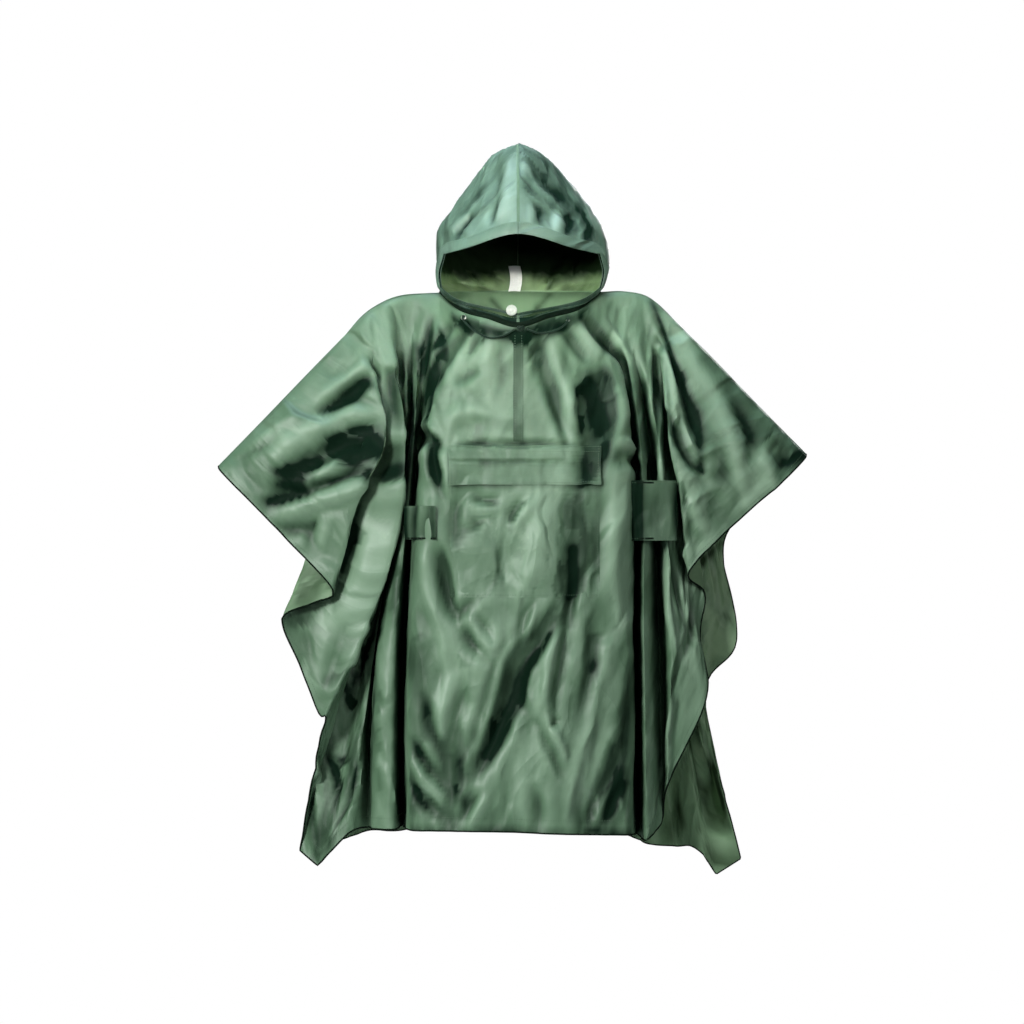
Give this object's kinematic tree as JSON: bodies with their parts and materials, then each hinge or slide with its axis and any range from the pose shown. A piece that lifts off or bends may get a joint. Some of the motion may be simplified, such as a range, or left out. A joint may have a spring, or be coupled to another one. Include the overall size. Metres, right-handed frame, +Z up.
{
  "type": "rain poncho",
  "caption": "Hooded rain poncho in worn shape, with front and back panels, a chest pouch pocket with a flap, a placket, side tabs and a throat drawcord.",
  "frame": {"origin": "centre of the base of the neck, level with the shoulder line, where the garment rests on its wearer", "axes": "+Z up along the wearer's neck, -Y out of the chest to the front, +X to the right as seen from the front. Left and right in names are as seen from the front"},
  "size_m": [1.0354, 0.3213, 1.2934],
  "materials": {
    "coated_cloth": "satin waterproof coated nylon, dark green",
    "drawcord": "round braided polyester cord, dark green",
    "label": "plain white woven satin",
    "stud": "satin white moulded plastic",
    "eyelet": "nickel plated brass"
  },
  "bodies": {
    "root": {"front_panel": "coated_cloth", "back_panel": "coated_cloth", "hood_left": "coated_cloth", "hood_right": "coated_cloth", "hood_hem_left": "coated_cloth", "hood_hem_right": "coated_cloth", "placket": "coated_cloth", "pocket": "coated_cloth", "pocket_flap": "coated_cloth", "side_tab_left": "coated_cloth", "side_tab_right": "coated_cloth", "eyelet_left": "eyelet", "eyelet_right": "eyelet", "drawcord_left": "drawcord", "drawcord_right": "drawcord", "cord_knot": "drawcord", "neck_stud": "stud", "neck_label": "label"}
  },
  "joints": []
}
